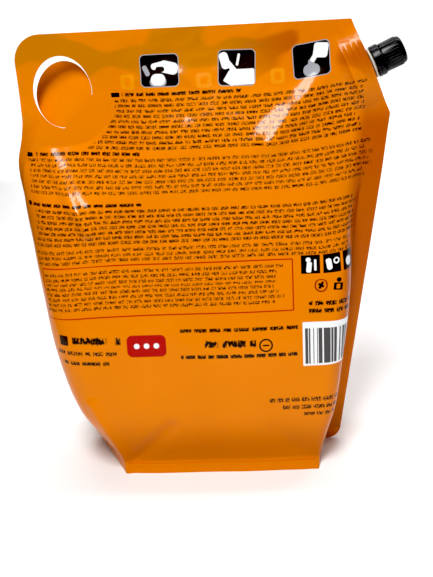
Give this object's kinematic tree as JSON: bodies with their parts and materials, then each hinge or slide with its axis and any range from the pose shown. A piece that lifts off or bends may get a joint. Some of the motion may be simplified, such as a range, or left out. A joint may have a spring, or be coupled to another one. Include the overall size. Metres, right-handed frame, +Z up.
{
  "type": "hand soap refill pack",
  "caption": "Filled stand-up refill pouch with a finger hole, a corner spout, a tamper band and a screw cap.",
  "frame": {"origin": "middle of the flat underside, on the floor", "axes": "+Z up, the printed back panel faces -Y, the spout's corner is at +X"},
  "size_m": [0.2385, 0.0877, 0.272],
  "materials": {
    "printed_film": "satin laminated film, orange with dark print",
    "spout_plastic": "natural moulded polyethylene",
    "band_plastic": "black moulded polyethylene",
    "cap_plastic": "black moulded polyethylene, semi-gloss"
  },
  "bodies": {
    "pack": {"pouch": "printed_film", "spout": "spout_plastic"},
    "band": {"tamper_band": "band_plastic"},
    "cap": {"cap": "cap_plastic"}
  },
  "joints": [
    {"name": "cap_turn", "type": "hinge", "parent": "pack", "child": "band", "pos_m": [0.09767, 0.003, 0.24633], "axis": [0.9169, 0, 0.399], "range_deg": [0, 720]},
    {"name": "cap_lift", "type": "slide", "parent": "band", "child": "cap", "axis": [0.9169, 0, 0.399], "range_m": [0, 0.0062]}
  ],
  "couplings": [
    {"joint": "cap_lift", "follows": "cap_turn", "m_per_rad": 0.00047746}
  ]
}
